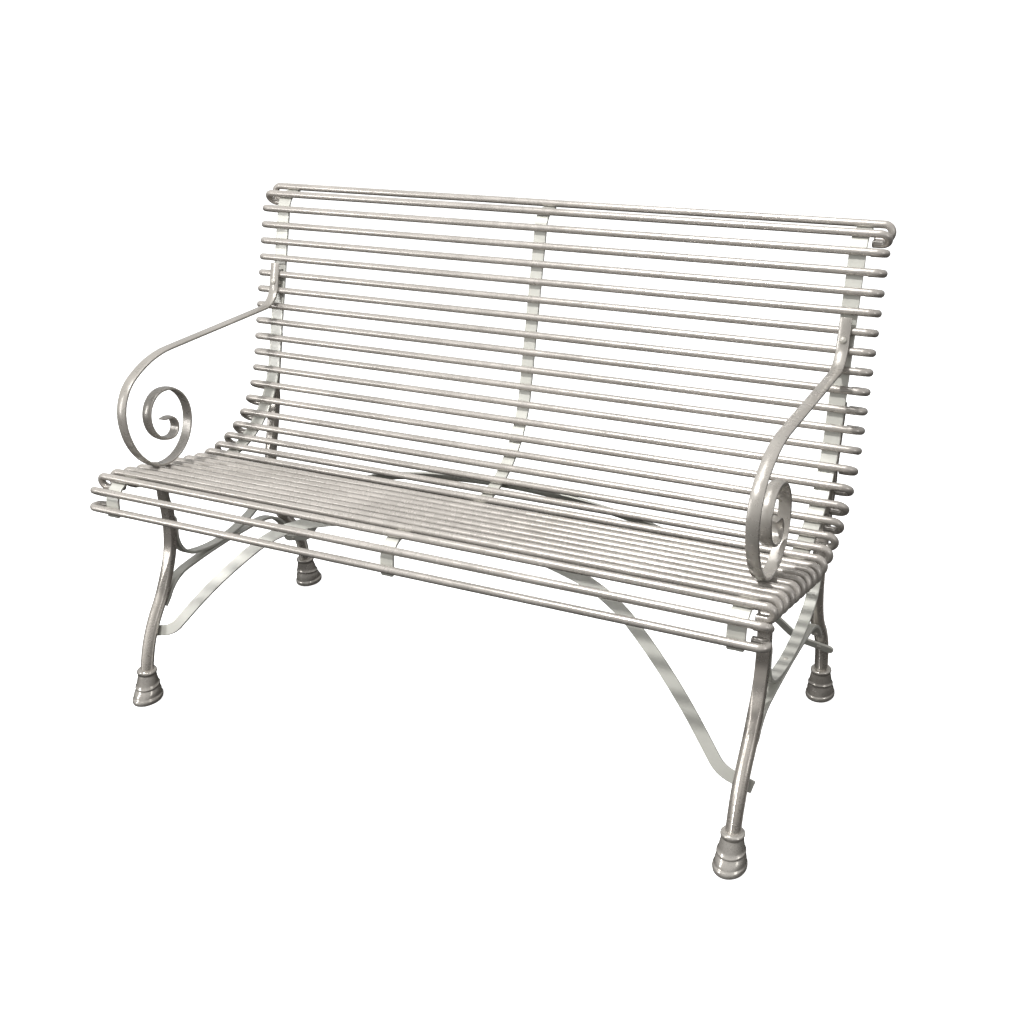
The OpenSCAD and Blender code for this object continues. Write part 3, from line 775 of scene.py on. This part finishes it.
strap_heads, leg_heads, brace_heads, cross_heads, arm_heads = [], [], [], [], []
bolt_parts, spacer_parts, nut_parts = [], [], []
for k in range(1, SLATS + 1):
    strap_heads.append(head(behind(strap_back(k), 0)))
    if k not in TAB_SLATS + LOOSE_SLATS:
        strap_heads += [head(behind(strap_back(k), sign * SIDE_X)) for _, sign in SIDES]
for _, sign in SIDES:
    x = sign * LEG_X
    tab_x = sign * TAB_RIVET_X
    leg_heads += [head(behind(tab_back(k), tab_x)) for k in TAB_SLATS + (TAB_RIVET,)]
    leg_heads.append(head(turned(behind(off(slat_at(TAB_RIVET), SLAT_R), tab_x))))
    brace_heads += [
        head(matrix_at((TOUCH_Y, TOUCH_Z + BRACE_T), 90, x)),
        head(matrix_at((TOUCH_Y, TOUCH_Z - BRACE_T), -90, x)),
        head(on_arc(FRONT_C, FRONT_SWEEP + LEG_R + BRACE_T, -5, x)),
        head(on_arc(FRONT_C, FRONT_SWEEP + LEG_R + BRACE_T, -36, x)),
        head(on_arc(REAR_C, REAR_SWEEP + LEG_R + BRACE_T, 180 - 3.5, x)),
        head(on_arc(HOOK_C, REAR_HOOK + LEG_R + BRACE_T, 180 + 38, x))]
    cross_heads.append(head(cross_place(FRONT_CROSS_AT, FRONT_LEAN, FRONT_CROSS, x, -1)))
    cross_heads.append(head(cross_place(REAR_CROSS_AT, REAR_LEAN, REAR_CROSS, x, 1)))
    arm_x = sign * SIDE_X
    arm_face = off(slat_at(SCROLL_SLAT), -SLAT_R - ARM_T - SCROLL_ROOM)
    arm_heads.append(head(turned(behind(arm_face, arm_x))))
    front = behind(off(slat_at(ARM_BOLT), -SLAT_R - ARM_T), arm_x)
    bolt_parts.append((front, tube_rings(SHANK, 20)))
    bolt_parts.append(head(turned(front), 2 * BOLT_R, BOLT_R))
    spacer_parts.append((behind(off(slat_at(ARM_BOLT), -SLAT_R), arm_x), tube_rings(SLEEVE)))
    nut_parts.append((behind(off(slat_at(ARM_BOLT), SLAT_R + STRAP_T), arm_x),
                      tube_rings(NUT, 6)))
merged("strap_heads", "strap_rivets", strap_heads, RIVET_PAINT)
merged("leg_heads", "leg_rivets", leg_heads, RIVET_PAINT)
merged("brace_heads", "brace_rivets", brace_heads, RIVET_PAINT)
merged("cross_heads", "cross_rivets", cross_heads, RIVET_PAINT)
merged("arm_heads", "arm_rivets", arm_heads, RIVET_PAINT)
merged("arm_bolt_shanks", "arm_bolts", bolt_parts, RIVET_PAINT)
merged("arm_sleeves", "arm_spacers", spacer_parts, RIVET_PAINT)
merged("arm_hex_nuts", "arm_nuts", nut_parts, RIVET_PAINT)


# ---- Floor, light and camera ----

def glowing(name, colour, strength):
    """A dull plain surface that gives off some white light of its own."""
    mat = bpy.data.materials.new(name)
    mat.use_nodes = True
    bsdf = mat.node_tree.nodes["Principled BSDF"]
    bsdf.inputs["Base Color"].default_value = colour
    bsdf.inputs["Roughness"].default_value = 0.9
    bsdf.inputs["Specular IOR Level"].default_value = 0.1
    bsdf.inputs["Emission Color"].default_value = (1, 1, 1, 1)
    bsdf.inputs["Emission Strength"].default_value = strength
    return mat


FLOOR_Z, FLOOR_TURNS = -0.2 * MM, 48
floor_rings = [[Vector((r * cos(360 * j / FLOOR_TURNS), r * sin(360 * j / FLOOR_TURNS), FLOOR_Z))
                for j in range(FLOOR_TURNS)] for r in (0.05, 2, 6, 14, 40)]
floor_verts, floor_faces = skin(floor_rings, closed_ends=False)
floor_mesh = bpy.data.meshes.new("studio_floor")
floor_mesh.from_pydata(floor_verts, [], floor_faces + [tuple(range(FLOOR_TURNS))])
floor = bpy.data.objects.new("studio_floor", floor_mesh)
bpy.context.scene.collection.objects.link(floor)
floor_mesh.materials.append(glowing("floor_white", (0.8, 0.8, 0.795, 1), 0.8))
# The bench doesn't see the floor, so that its undersides stay dark.
floor.visible_glossy = False
floor.visible_diffuse = False

# The world is light above and dark below for the bench, and white for the camera.
world = bpy.data.worlds.new("studio")
bpy.context.scene.world = world
world.use_nodes = True
sky, wires = world.node_tree.nodes, world.node_tree.links
backdrop = sky["Background"]
direction = sky.new("ShaderNodeTexCoord")
split = sky.new("ShaderNodeSeparateXYZ")
ramp = sky.new("ShaderNodeValToRGB")
wires.new(direction.outputs["Generated"], split.inputs[0])
height = sky.new("ShaderNodeMapRange")
height.inputs["From Min"].default_value = -1
wires.new(split.outputs["Z"], height.inputs["Value"])
wires.new(height.outputs["Result"], ramp.inputs["Fac"])
ramp.color_ramp.elements[0].position = 0.36
ramp.color_ramp.elements[0].color = (0.055, 0.05, 0.045, 1)
ramp.color_ramp.elements[1].position = 0.64
ramp.color_ramp.elements[1].color = (1, 1, 1, 1)
wires.new(ramp.outputs["Color"], backdrop.inputs["Color"])
backdrop.inputs["Strength"].default_value = 0.62
seen = sky.new("ShaderNodeBackground")
seen.inputs["Color"].default_value = (1, 1, 1, 1)
seen.inputs["Strength"].default_value = 1.1
which = sky.new("ShaderNodeLightPath")
choose = sky.new("ShaderNodeMixShader")
wires.new(which.outputs["Is Camera Ray"], choose.inputs[0])
wires.new(backdrop.outputs[0], choose.inputs[1])
wires.new(seen.outputs[0], choose.inputs[2])
wires.new(choose.outputs[0], sky["World Output"].inputs["Surface"])


def softbox(name, spot, width, depth, power, aim=(0, 0, 0.4)):
    """A rectangular lamp at spot that points at aim."""
    data = bpy.data.lights.new(name, "AREA")
    data.shape = "RECTANGLE"
    data.size, data.size_y, data.energy = width, depth, power
    lamp = bpy.data.objects.new(name, data)
    lamp.location = spot
    lamp.rotation_mode = "QUATERNION"
    lamp.rotation_quaternion = (Vector(aim) - Vector(spot)).to_track_quat("-Z", "Y")
    bpy.context.scene.collection.objects.link(lamp)


softbox("overhead", (-0.2, -0.1, 3.2), 1.4, 0.9, 24)
softbox("key", (-0.55, -1.5, 3.1), 0.14, 0.14, 100)
softbox("window_left", (-2.6, -2.8, 1.5), 0.5, 1.9, 34)
softbox("window_right", (3.4, -1.2, 1.5), 0.6, 1.8, 14)

CAMERA_AT = Vector((1019.57, -1794.51, 1303.59)) * MM
CAMERA_AZ, CAMERA_EL, CAMERA_ROLL = 27.902, 24.531, -2.158
back = Vector((sin(CAMERA_AZ) * cos(CAMERA_EL), -cos(CAMERA_AZ) * cos(CAMERA_EL), sin(CAMERA_EL)))
level = Vector((cos(CAMERA_AZ), sin(CAMERA_AZ), 0))
above = back.cross(level)
right = level * cos(CAMERA_ROLL) + above * sin(CAMERA_ROLL)
upward = above * cos(CAMERA_ROLL) - level * sin(CAMERA_ROLL)
lens = bpy.data.cameras.new("camera")
lens.sensor_width, lens.lens = 36, 44.93
lens.shift_x, lens.shift_y = -0.0012, 0.001
camera = bpy.data.objects.new("camera", lens)
turn = Matrix((right, upward, back)).transposed().to_4x4()
camera.matrix_world = Matrix.Translation(CAMERA_AT) @ turn
bpy.context.scene.collection.objects.link(camera)
bpy.context.scene.camera = camera
bpy.context.scene.view_settings.view_transform = "Standard"
